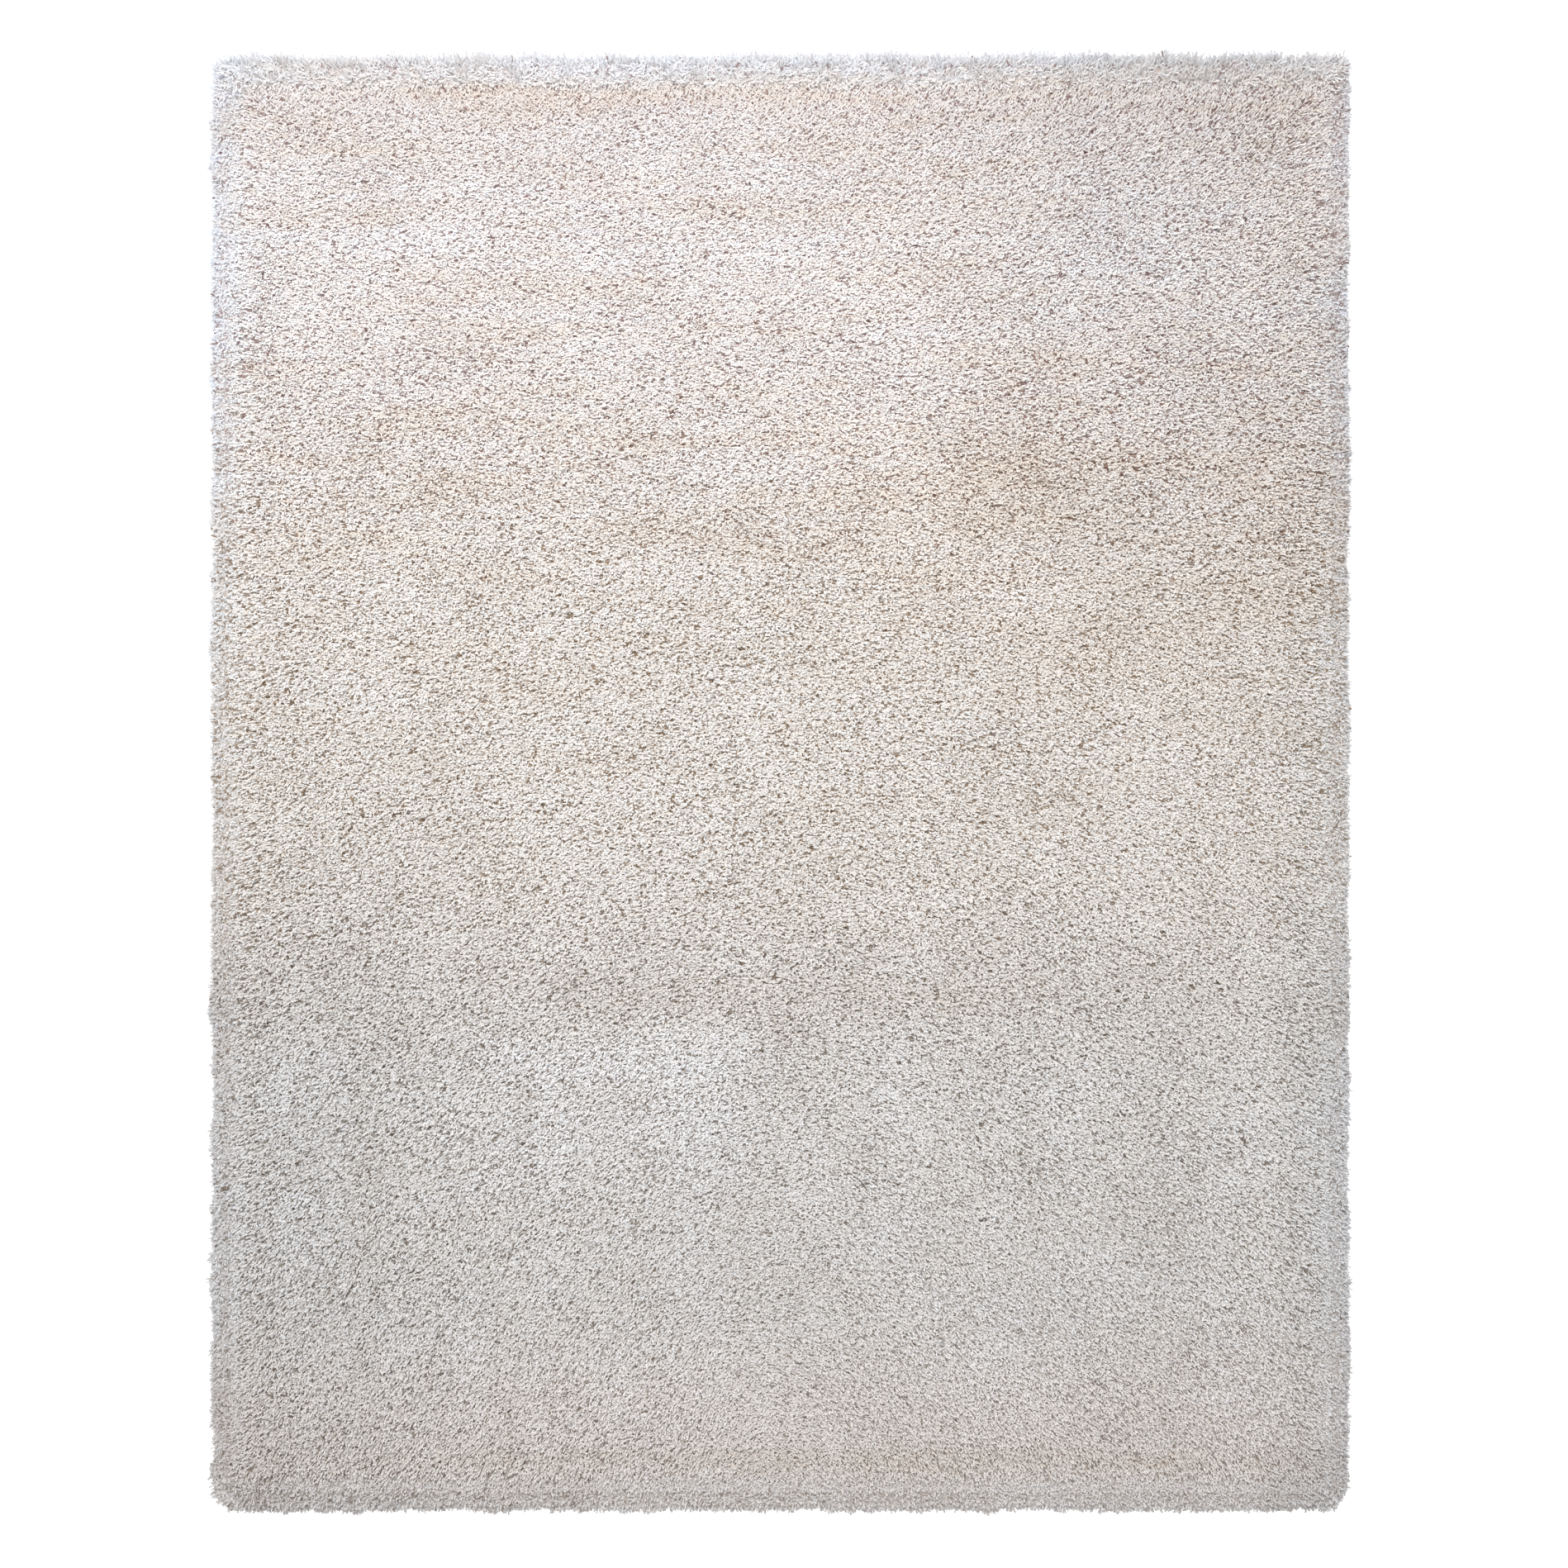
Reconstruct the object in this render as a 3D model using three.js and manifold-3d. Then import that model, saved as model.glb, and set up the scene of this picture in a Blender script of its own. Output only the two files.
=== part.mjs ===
// A shag rug lying flat on the floor: one lumpy slab of thick pile, with locks of yarn that splay out of its rim.
// Millimetres, +Z up. The origin is on the floor under the rug's middle, the width runs along X and the length
// along Y. The pile leans outward from a point between the middle and the +Y end.

import * as THREE from "three";
import { mergeVertices } from "three/addons/utils/BufferGeometryUtils.js";
import Module from "manifold-3d";

const wasm = await Module();
wasm.setup();

// Overall size, over the tips of the locks
const RUG_WIDTH = 2388;
const RUG_LENGTH = 3048;
const PILE_HEIGHT = 33;

// The rim: how far it stays inside the overall size, how deep its rounded shoulder is, and how much it wavers
const LOCK_REACH = 17;
const SHOULDER_DEPTH = 46;
const HALF_WIDTH = RUG_WIDTH / 2 - LOCK_REACH;
const HALF_LENGTH = RUG_LENGTH / 2 - LOCK_REACH;

// Corner radii, going round from the -X -Y corner
const CORNER_RADII = [66, 50, 14, 22];

// The shoulder's section from the floor up, as fractions of its depth and of the pile's height
const SHOULDER_SECTION = [
  { inset: 0, rise: 0 },
  { inset: 0.1, rise: 0.58 },
  { inset: 0.46, rise: 0.91 },
];

// Waves that make the rim waver, as whole cycles round the rug
const RIM_WAVES = [
  { cycles: 17, height: 1.1, phase: 0.4 },
  { cycles: 41, height: 1.3, phase: 2.1 },
  { cycles: 73, height: 1.2, phase: 4.4 },
];

// Long waves in the pile's height, by wavelength and by heading in degrees from +X
const PILE_WAVES = [
  { wavelength: 930, heading: 78, height: 1.5 },
  { wavelength: 540, heading: 12, height: 1.1 },
  { wavelength: 410, heading: 122, height: 1.2 },
  { wavelength: 300, heading: 64, height: 1.1 },
];

// Clumps of yarn: how far a point of the surface is lifted or moved aside at random
const CLUMP_LIFT = 4.2;
const CLUMP_DRIFT = 18;
const CELLS_ACROSS = 34;
const CELLS_ALONG = 44;

// The point that the pile leans away from, and how strongly the locks follow that lean
const LEAN_CENTRE = new THREE.Vector2(0, 650);
const LEAN_SHARE = 0.55;

// Locks of yarn, 3-sided, lying on the floor with their roots inside the rim
const LOCK_COUNT = 224;
const LOCK_SHORTEST = 0.5;
const LOCK_TURN = 0.3;
const LOCK_SECTION = [
  { along: -13, width: 32, height: 19 },
  { along: LOCK_REACH, width: 10, height: 6 },
];
const LOCK_SIDES = 3;

const YARN_COLOUR = 0xd8d1cb;
const YARN_ROUGHNESS = 1;

// A repeatable random number from -1 to 1 for a pair of whole numbers
const HASH = { first: 12.9898, second: 78.233, spread: 43758.5453 };
function scatter(first, second) {
  const turned = Math.sin(first * HASH.first + second * HASH.second) * HASH.spread;
  return 2 * (turned - Math.floor(turned)) - 1;
}

// The rim's plan: four straight sides and four rounded corners, run counterclockwise from the -Y side
function rimPath() {
  const [nearLeft, nearRight, farRight, farLeft] = CORNER_RADII;
  const quarter = Math.PI / 2;
  const path = new THREE.Path();
  path.moveTo(nearLeft - HALF_WIDTH, -HALF_LENGTH);
  path.lineTo(HALF_WIDTH - nearRight, -HALF_LENGTH);
  path.absarc(HALF_WIDTH - nearRight, nearRight - HALF_LENGTH, nearRight, -quarter, 0);
  path.lineTo(HALF_WIDTH, HALF_LENGTH - farRight);
  path.absarc(HALF_WIDTH - farRight, HALF_LENGTH - farRight, farRight, 0, quarter);
  path.lineTo(farLeft - HALF_WIDTH, HALF_LENGTH);
  path.absarc(farLeft - HALF_WIDTH, HALF_LENGTH - farLeft, farLeft, quarter, 2 * quarter);
  path.lineTo(-HALF_WIDTH, nearLeft - HALF_LENGTH);
  path.absarc(nearLeft - HALF_WIDTH, nearLeft - HALF_LENGTH, nearLeft, 2 * quarter, 3 * quarter);
  return path;
}

const RIM = rimPath();

// A point of the wavering rim at a share of the way round, with its outward direction
function rimAt(share) {
  const around = share - Math.floor(share);
  const tangent = RIM.getTangent(around);
  const outward = new THREE.Vector2(tangent.y, -tangent.x);
  let waver = 0;
  for (const wave of RIM_WAVES) {
    waver += wave.height * Math.sin(2 * Math.PI * wave.cycles * around + wave.phase);
  }
  const point = RIM.getPoint(around).addScaledVector(outward, waver);
  return { point, outward };
}

// The shares of the way round at the middles of the four corners, from the -X -Y one on
function cornerShares() {
  const lengths = RIM.getCurveLengths();
  const total = lengths[lengths.length - 1];
  const middles = CORNER_RADII.map((radius, corner) => {
    const arcEnd = corner === 0 ? 0 : lengths[2 * corner - 1];
    return (arcEnd - (radius * Math.PI) / 4) / total;
  });
  return [...middles, middles[0] + 1];
}

// The pile's height over the floor at a place in plan
function pileHeight(x, y) {
  let height = PILE_HEIGHT;
  for (const wave of PILE_WAVES) {
    const heading = THREE.MathUtils.degToRad(wave.heading);
    const run = x * Math.cos(heading) + y * Math.sin(heading);
    height += wave.height * Math.sin((2 * Math.PI * run) / wave.wavelength + wave.heading);
  }
  return height;
}

// The slab's closed surface: a clumpy top field, the shoulder round it, and one flat underside
function slabGeometry() {
  const positions = [];
  const faces = [];
  const fieldX = HALF_WIDTH - SHOULDER_DEPTH;
  const fieldY = HALF_LENGTH - SHOULDER_DEPTH;

  function addPoint(x, y, z) {
    positions.push(x, y, z);
    return positions.length / 3 - 1;
  }

  // The field, point by point, drifting aside only where it is clear of its own edge
  const field = [];
  for (let row = 0; row <= CELLS_ALONG; row += 1) {
    const line = [];
    for (let column = 0; column <= CELLS_ACROSS; column += 1) {
      const inner = row > 0 && row < CELLS_ALONG && column > 0 && column < CELLS_ACROSS;
      const drift = inner ? CLUMP_DRIFT : 0;
      const x = fieldX * ((2 * column) / CELLS_ACROSS - 1) + drift * scatter(column, row);
      const y = fieldY * ((2 * row) / CELLS_ALONG - 1) + drift * scatter(row, column + CELLS_ACROSS);
      const lift = CLUMP_LIFT * scatter(column + row, row);
      line.push(addPoint(x, y, pileHeight(x, y) + lift));
    }
    field.push(line);
  }
  for (let row = 0; row < CELLS_ALONG; row += 1) {
    for (let column = 0; column < CELLS_ACROSS; column += 1) {
      const near = [field[row][column], field[row][column + 1]];
      const far = [field[row + 1][column], field[row + 1][column + 1]];
      faces.push(near[0], near[1], far[1], near[0], far[1], far[0]);
    }
  }

  // The field's edge, counterclockwise from its -X -Y corner
  const edge = [
    ...field[0].slice(0, -1),
    ...field.slice(0, -1).map((line) => line[CELLS_ACROSS]),
    ...field[CELLS_ALONG].slice(1).reverse(),
    ...field.slice(1).reverse().map((line) => line[0]),
  ];

  // The shoulder's rings have two points for each one of the field's edge
  const corners = cornerShares();
  const sideCells = [CELLS_ACROSS, CELLS_ALONG, CELLS_ACROSS, CELLS_ALONG];
  const shares = sideCells.flatMap((cells, side) =>
    Array.from({ length: 2 * cells }, (_, step) =>
      THREE.MathUtils.lerp(corners[side], corners[side + 1], step / (2 * cells)),
    ),
  );
  const ringSize = shares.length;

  function edgePoint(step) {
    const before = edge[Math.floor(step / 2)];
    const after = edge[Math.ceil(step / 2) % edge.length];
    const ends = [before, after].map((index) => new THREE.Vector3().fromArray(positions, 3 * index));
    return ends[0].lerp(ends[1], 0.5);
  }

  const rings = SHOULDER_SECTION.map((level, depth) =>
    shares.map((share, step) => {
      const inner = edgePoint(step);
      const outer = rimAt(share).point;
      const x = THREE.MathUtils.lerp(outer.x, inner.x, level.inset);
      const y = THREE.MathUtils.lerp(outer.y, inner.y, level.inset);
      const lump = depth === 0 ? 0 : CLUMP_LIFT * level.rise * scatter(step, depth);
      return addPoint(x, y, inner.z * level.rise + lump);
    }),
  );
  for (let depth = 0; depth < rings.length - 1; depth += 1) {
    const [low, high] = [rings[depth], rings[depth + 1]];
    for (let step = 0; step < ringSize; step += 1) {
      const next = (step + 1) % ringSize;
      faces.push(low[step], low[next], high[next], low[step], high[next], high[step]);
    }
  }

  // The last ring meets the field's edge, three triangles for each of the edge's cells
  const top = rings[rings.length - 1];
  for (let cell = 0; cell < edge.length; cell += 1) {
    const [start, middle, end] = [2 * cell, 2 * cell + 1, (2 * cell + 2) % ringSize];
    const [here, there] = [edge[cell], edge[(cell + 1) % edge.length]];
    faces.push(top[start], top[middle], here);
    faces.push(here, top[middle], there);
    faces.push(top[middle], top[end], there);
  }

  // The underside is one flat face, its triangles turned to face the floor
  const floorRing = rings[0].map((index) => new THREE.Vector2().fromArray(positions, 3 * index));
  for (const [first, second, third] of THREE.ShapeUtils.triangulateShape(floorRing, [])) {
    faces.push(rings[0][first], rings[0][third], rings[0][second]);
  }
  return closedGeometry(positions, faces);
}

// One lock, 3-sided and tapering, with its flat side on the floor
function lockGeometry(number) {
  const { point, outward } = rimAt((number + LOCK_TURN * scatter(number, 1)) / LOCK_COUNT);
  const lean = point.clone().sub(LEAN_CENTRE).normalize().multiplyScalar(LEAN_SHARE);
  const turn = LOCK_TURN * scatter(number, 2);
  const along = outward.clone().add(lean).normalize().rotateAround(new THREE.Vector2(), turn);
  const across = new THREE.Vector2(-along.y, along.x);
  const reach = THREE.MathUtils.mapLinear(scatter(number, 3), -1, 1, LOCK_SHORTEST, 1);
  const ridge = LOCK_TURN * scatter(number, 4);

  const positions = [];
  for (const station of LOCK_SECTION) {
    const step = station.along > 0 ? station.along * reach : station.along;
    const middle = point.clone().addScaledVector(along, step);
    const left = middle.clone().addScaledVector(across, station.width / 2);
    const right = middle.clone().addScaledVector(across, -station.width / 2);
    const crest = middle.clone().addScaledVector(across, ridge * station.width);
    positions.push(right.x, right.y, 0, left.x, left.y, 0, crest.x, crest.y, station.height);
  }

  const faces = [0, 2, 1];
  for (let station = 0; station < LOCK_SECTION.length - 1; station += 1) {
    for (let side = 0; side < LOCK_SIDES; side += 1) {
      const here = LOCK_SIDES * station + side;
      const beside = LOCK_SIDES * station + ((side + 1) % LOCK_SIDES);
      faces.push(here, beside + LOCK_SIDES, here + LOCK_SIDES);
      faces.push(here, beside, beside + LOCK_SIDES);
    }
  }
  const tip = LOCK_SIDES * (LOCK_SECTION.length - 1);
  faces.push(tip, tip + 1, tip + 2);
  return closedGeometry(positions, faces);
}

function closedGeometry(positions, faces) {
  const geometry = new THREE.BufferGeometry();
  geometry.setAttribute("position", new THREE.Float32BufferAttribute(positions, 3));
  geometry.setIndex(faces);
  return geometry;
}

function toSolid(geometry) {
  const merged = mergeVertices(geometry);
  const vertProperties = new Float32Array(merged.attributes.position.array);
  const triVerts = new Uint32Array(merged.index.array);
  return new wasm.Manifold(new wasm.Mesh({ numProp: 3, vertProperties, triVerts }));
}

function toGeometry(solid) {
  const mesh = solid.getMesh();
  return closedGeometry(Array.from(mesh.vertProperties), Array.from(mesh.triVerts));
}

// The slab and its locks joined into one solid, then centred over the origin
function shagRug() {
  let solid = toSolid(slabGeometry());
  for (let number = 0; number < LOCK_COUNT; number += 1) {
    solid = solid.add(toSolid(lockGeometry(number)));
  }
  const geometry = toGeometry(solid);
  geometry.computeBoundingBox();
  const middle = geometry.boundingBox.getCenter(new THREE.Vector3());
  geometry.translate(-middle.x, -middle.y, 0);
  geometry.computeVertexNormals();
  const yarn = new THREE.MeshStandardMaterial({
    color: YARN_COLOUR,
    roughness: YARN_ROUGHNESS,
    metalness: 0,
  });
  const mesh = new THREE.Mesh(geometry, yarn);
  mesh.name = "shag_rug";
  return mesh;
}

const rug = new THREE.Group();
rug.add(shagRug());

export default rug;
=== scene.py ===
"""A shag rug lying flat, seen from straight above: its backing cloth, the pile's ground, and its yarns.

Metres, +Z up, the same frame as the CAD model. Every piece rides on the body "root".
"""

import math

import bpy
import numpy as np
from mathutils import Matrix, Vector


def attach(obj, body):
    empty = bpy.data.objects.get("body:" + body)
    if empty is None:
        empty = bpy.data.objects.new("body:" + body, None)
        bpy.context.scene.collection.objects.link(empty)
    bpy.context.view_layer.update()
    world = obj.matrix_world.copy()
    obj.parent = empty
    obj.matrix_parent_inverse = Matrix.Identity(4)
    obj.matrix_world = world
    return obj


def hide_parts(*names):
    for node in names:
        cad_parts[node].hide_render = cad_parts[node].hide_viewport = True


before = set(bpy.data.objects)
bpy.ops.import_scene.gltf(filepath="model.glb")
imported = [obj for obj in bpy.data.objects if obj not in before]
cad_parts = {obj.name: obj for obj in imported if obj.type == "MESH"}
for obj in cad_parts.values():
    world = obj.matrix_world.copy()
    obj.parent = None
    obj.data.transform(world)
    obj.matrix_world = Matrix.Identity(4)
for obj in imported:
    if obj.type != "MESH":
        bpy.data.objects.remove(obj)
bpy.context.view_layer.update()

SEED = 7
NODE = "shag_rug"
TINY = 1e-12

# The rim's plan, as in the CAD model: half sizes, corner radii from the -X -Y corner on, and small waves,
# each a number of cycles, a height and a phase
HALF_WIDTH = 1.177
HALF_LENGTH = 1.507
CORNER_RADII = (0.066, 0.050, 0.014, 0.022)
RIM_WAVES = ((17, 0.0011, 0.4), (41, 0.0013, 2.1), (73, 0.0012, 4.4))

# The pile's height, as in the CAD model: the mean, and long waves by length, heading in degrees and height
PILE_HEIGHT = 0.033
PILE_WAVES = (
    (0.930, 78, 0.0015),
    (0.540, 12, 0.0011),
    (0.410, 122, 0.0012),
    (0.300, 64, 0.0011),
)

# The CAD model's repeatable random numbers
SCATTER_FACTORS = (12.9898, 78.233)
SCATTER_SCALE = 43758.5453

# Locks at the rim, as in the CAD model
LOCK_COUNT = 224
LOCK_REACH = 0.017
LOCK_SHORTEST = 0.5
LOCK_TURN = 0.3
LOCK_HALF_WIDTH = 0.014
LEAN_CENTRE = (0.0, 0.650)
LEAN_SHARE = 0.55

# How a lock takes hold of the yarns near it: by their distance in half widths, and less higher up
HOLD_SPAN = (1.25, 0.35)
HOLD_LOSS = 0.8

# Noise on which the random hills are built
NOISE_CELLS = 256
NOISE_SHIFT = 100

# Where the pile is calm: shares, and the spans across x or along y where each comes in
NEAR_CALM = 0.7
NEAR_CALM_Y = (-0.45, -1.5)
NEAR_LEFT_LOSS = 0.4
NEAR_LEFT_X = (-0.2, -0.9)
NEAR_RIGHT_CALM = 0.25
NEAR_RIGHT_X = (-0.5, 0.2)
NEAR_RIGHT_Y = (-0.3, -0.9)
FAR_CALM = 0.50
FAR_CALM_Y = (0.5, 1.25)
FAR_RIGHT_LOSS = 0.25
FAR_RIGHT_X = (0.0, 0.8)
FAR_RIGHT_Y = (0.2, 0.6)
RIGHT_CALM = 0.22
RIGHT_CALM_X = (0.45, 0.9)
RIGHT_CALM_Y = ((0.6, 0.3), (-0.9, -0.5))

# A yarn is one wedge. Some are blunt, widest at their tips. Their normals make them look round and lit
BLUNT_SHARE = 0.6
ROUNDNESS = 0.4
UPWARD = 0.3
YARN_ROLL = 0.12
UPRIGHT = 1e-3
LOWEST_POINT = 0.0006
MAP_SPAN = 0.7
MAP_MARGIN = 0.15

# The way that yarns lie: the splay in degrees, on the middle line and for each metre along it, how far from
# that line it is full, and the turn at the far end
COMB_SPLAY = 15.0
COMB_SLOPE = 22.0
COMB_WIDTH = 0.15
COMB_WIDENING = 0.45
COMB_WIDENING_Y = (-1.4, 0.2)
COMB_TURN = 12
COMB_TURN_Y = (0.8, 1.3)

# Yarns of the field
PITCH = 0.0029
JITTER = 0.30
ROW_SHIFT = 0.25
YARN_LENGTH = 0.0130
YARN_WIDTH = 0.0040
YARN_LENGTHS = (0.85, 1.15)
YARN_WIDTHS = (0.78, 1.15)
CALM_THINNING = 0.15
FIELD_MARGIN = 0.02
FIELD_INSET = 0.034
STRIPS = 5
TIP_HEIGHT = 0.0010
TIP_SPREAD = 0.0010
DEEPEST_TIP = 0.0050
HIGHEST_TIP = 0.0475
EDGE_DROP = 0.010
EDGE_DROP_DEPTH = 0.085
RIM_LOOK_DEPTH = 0.060

# How yarns lean, with random hills as height, size and seed
MEAN_LEAN = (0.0, -0.15)
LEAN_HILLS = (((0.10, 0.25, 42), (0.09, 0.06, 43)), ((0.10, 0.25, 44), (0.09, 0.06, 45)))
OUTWARD_LEAN = 0.50
OUTWARD_DEPTHS = (0.150, 0.020)
BRUSHED_LEAN = 0.30
BRUSHED_Y = (1.05, 1.42)
STROKE = 0.90
STROKE_HILLS = ((0.08, 0.09, 41),)
STROKE_RANGE = (0.75, 1.15)
STROKE_SPREAD = 0.28
LARGEST_LEAN = 0.93

# Clumps of yarns: their size, how random hills warp them, how far their centres stray and with which seeds,
# and how yarns differ from clump to clump
CLUMP_SIZE = (0.026, 0.016)
CLUMP_WARPS = (((0.010, 0.055, 31), (0.012, 0.150, 32)), ((0.006, 0.050, 33), (0.012, 0.210, 34)))
CLUMP_SCATTER = 0.42
CLUMP_SEEDS = ((0, 11), (5, 71), (17, 29))
CLUMP_EDGE = 0.5
CLUMP_STEP = 0.0025
CLUMP_STEP_REACH = 0.6
CLUMP_LIFT = 0.0006
CLUMP_LEAN = 0.06
CLUMP_TONE = 0.15
CALM_FLATNESS = 0.85

# Gaps between clumps and pits where a yarn is sunk
GAP_HILLS = ((1.0, (0.060, 0.028), 61),)
GAP_SPAN = (-0.5, 0.6)
GAP_WIDTH = 0.80
GAP_CORE = 0.4
GAP_SIDE = (-0.05, 0.15)
GAP_SHARE = 0.14
PIT_SHARE = 0.20
PIT_DROP = 0.0021
CALM_FILLING = 0.9

# Yarns of the rim stand in rows up the ground's shoulder, and the rows crowd towards its top
RIM_PITCH = 0.0036
RIM_ROWS = 26
ROW_CROWDING = 1.45
RIM_FOLDS = 14
RIM_LUMPS = ((0.0040, 0.010, 53),)
REACH_OUT = np.array((0.006, 0.007))
REACH_OUT_LIMITS = (-1, 0.4)
NEAR_BULGE = 0.011
BULGE_SIZE = 0.065
ROOT_HEIGHT = 0.001

# Their tufts, their lengths and widths, and what the far end and the corners add
TUFTS = ((1.0, 0.020, 54),)
TUFT_RISE = 0.06
TUFT_LENGTH = 0.15
TUFT_SWING = 0.45
RIM_YARN = 0.0130
RIM_LENGTHS = (0.5, 1.25)
RIM_WIDTHS = (0.75, 1.1)
FAR_SIDE_Y = (1.30, 1.46)
FAR_SIDE_GAIN = 1.3
FAR_EXTRA = 0.0120
FAR_EXTRA_LOSS = 0.35
FAR_CORNER_PULL = 0.35
NEAR_CORNER_PULL = 0.15

# How they point, angles in degrees and spreads in radians: outward low down, and settled as in the field
# higher up, later at the far side
RIM_SWING = 1.0
FAR_SWING = 0.2
RIM_LEAN = 0.5
RIM_STEEP = 3
RIM_STEEPENING = 49
RIM_STEEP_SPREAD = 0.35
STEEP_LIMITS = (-8, 80)
SETTLED_SPAN = (0.0, 0.7)
SETTLED_TUFT = 0.2
UNSETTLED_FAR = 0.30
UNSETTLED_TUFT = 0.6
SETTLED_STEEP = 24
SETTLED_STEEP_SPREAD = 0.15
SETTLED_SPREAD = 0.6

# How far a lock draws them together
AIM_SPREAD = 0.0028
AIM_LIMIT = 0.034
AIM_PULL = (0.2, 0.7)
AIM_HEIGHT = 0.004
AIM_ROOT_SHARE = 0.5
AIM_DROP = 0.7
LOWEST_TIP = 0.0012
LOWEST_TIP_SPREAD = 0.002
RIM_PITS = 0.8
FAR_PIT_LOSS = 0.8
RIM_LOOK_LOSS = 0.6

# Loose fibres at the rim
LOOSE_COUNT = 5200
LOOSE_FAR_Y = (1.30, 1.50)
LOOSE_SHARE = 0.35
LOOSE_INSETS = (0.004, 0.040)
LOOSE_SWING = 0.28
LOOSE_LENGTH = 0.013
LOOSE_FAR_EXTRA = 0.012
LOOSE_LENGTHS = (0.6, 1.35)
LOOSE_STEEPEST = 40
LOOSE_HEIGHT = 0.006
LOOSE_RISE = 0.5
LOOSE_WIDTHS = (0.0011, 0.0020)

# The ground that the yarns stand in, nearer to their tips where the pile is calm. Its shoulder runs from the
# floor up, each station an inset from the rim and a share of the ground's height
GROUND_DEPTH = 0.0085
CALM_GROUND = 0.0016
GROUND_CELL = 0.020
GROUND_LUMPS = 0.0012
FIELD_EDGE = 0.070
SHOULDER = ((-0.006, 0.03), (-0.005, 0.28), (-0.001, 0.60), (0.010, 0.86), (0.042, 1.0))

BACKING_INSET = 0.010
BACKING_THICKNESS = 0.002
BACKING_LIFT = 0.0002
BACKING_CELL = 0.060

rng = np.random.default_rng(SEED)


# ---------------------------------------------------------------- shapes shared with the CAD model


def scatter(first, second):
    """The CAD model's repeatable random number from -1 to 1 for a pair of whole numbers."""
    turned = np.sin(first * SCATTER_FACTORS[0] + second * SCATTER_FACTORS[1]) * SCATTER_SCALE
    return 2 * (turned - np.floor(turned)) - 1


def rim_segments():
    """The rim's straight sides and corner arcs, counterclockwise from the -Y side."""
    near_left, near_right, far_right, far_left = CORNER_RADII
    quarter = math.pi / 2
    width, length = HALF_WIDTH, HALF_LENGTH
    return (
        ("line", (near_left - width, -length), (width - near_right, -length)),
        ("arc", (width - near_right, near_right - length), near_right, -quarter),
        ("line", (width, near_right - length), (width, length - far_right)),
        ("arc", (width - far_right, length - far_right), far_right, 0.0),
        ("line", (width - far_right, length), (far_left - width, length)),
        ("arc", (far_left - width, length - far_left), far_left, quarter),
        ("line", (-width, length - far_left), (-width, near_left - length)),
        ("arc", (near_left - width, near_left - length), near_left, 2 * quarter),
    )


def segment_length(segment):
    if segment[0] == "line":
        return math.dist(segment[1], segment[2])
    return segment[2] * math.pi / 2


SEGMENTS = rim_segments()
ENDS = np.cumsum([segment_length(segment) for segment in SEGMENTS])
RIM_LENGTH = float(ENDS[-1])


def rim_at(share):
    """Points of the wavering rim at shares of the way round, and the outward directions there."""
    around = share - np.floor(share)
    run = around * RIM_LENGTH
    which = np.minimum(np.searchsorted(ENDS, run, side="right"), len(SEGMENTS) - 1)
    point = np.zeros((len(run), 2))
    outward = np.zeros((len(run), 2))
    for number, segment in enumerate(SEGMENTS):
        here = which == number
        length = segment_length(segment)
        along = (run[here] - (ENDS[number] - length)) / length
        if segment[0] == "line":
            start, end = np.array(segment[1]), np.array(segment[2])
            heading = (end - start) / length
            point[here] = start + np.outer(along, end - start)
            outward[here] = (heading[1], -heading[0])
        else:
            angle = segment[3] + along * math.pi / 2
            outward[here] = np.stack([np.cos(angle), np.sin(angle)], 1)
            point[here] = np.array(segment[1]) + segment[2] * outward[here]
    waver = sum(h * np.sin(2 * math.pi * cycles * around + phase) for cycles, h, phase in RIM_WAVES)
    return point + outward * waver[:, None], outward


# The middles of the corner arcs, from the -X -Y corner round and back to it
CORNER_SHARES = [
    (ENDS[arc] - radius * math.pi / 4) / RIM_LENGTH for radius, arc in zip(CORNER_RADII, (7, 1, 3, 5))
]
CORNER_SHARES[0] -= 1
CORNER_SHARES.append(CORNER_SHARES[0] + 1)


def inward_of(share, inset):
    """Places that lie in from the rim by about inset, on the way to the plain rectangle of the field."""
    point, outward = rim_at(share)
    half = np.array([HALF_WIDTH - FIELD_EDGE, HALF_LENGTH - FIELD_EDGE])
    corners = half * np.array([(-1, -1), (1, -1), (1, 1), (-1, 1), (-1, -1)])
    around = (share - CORNER_SHARES[0]) % 1 + CORNER_SHARES[0]
    inner = np.stack([np.interp(around, CORNER_SHARES, corners[:, axis]) for axis in (0, 1)], 1)
    part = (inset / FIELD_EDGE)[:, None]
    return point * (1 - part) + inner * part, outward


def rim_depth(x, y):
    """How far inside the rim a place is, and the outward direction there."""
    near_left, near_right, far_right, far_left = CORNER_RADII
    radius = np.where(y < 0, np.where(x < 0, near_left, near_right), np.where(x < 0, far_left, far_right))
    off_x = np.abs(x) - HALF_WIDTH + radius
    off_y = np.abs(y) - HALF_LENGTH + radius
    corner = (off_x > 0) & (off_y > 0)
    beyond = np.hypot(np.maximum(off_x, 0), np.maximum(off_y, 0))
    depth = radius - np.where(corner, beyond, np.maximum(off_x, off_y))
    sideways = off_x > off_y
    out_x = np.where(corner, off_x / np.maximum(beyond, TINY), sideways) * np.sign(x)
    out_y = np.where(corner, off_y / np.maximum(beyond, TINY), ~sideways) * np.sign(y)
    return depth, np.stack([out_x, out_y], 1)


def pile_height(x, y):
    """The pile's height over the floor."""
    height = np.full(np.shape(x), PILE_HEIGHT)
    for wavelength, heading, rise in PILE_WAVES:
        run = x * math.cos(math.radians(heading)) + y * math.sin(math.radians(heading))
        height = height + rise * np.sin(2 * math.pi * run / wavelength + heading)
    return height


# ---------------------------------------------------------------- small tools


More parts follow.
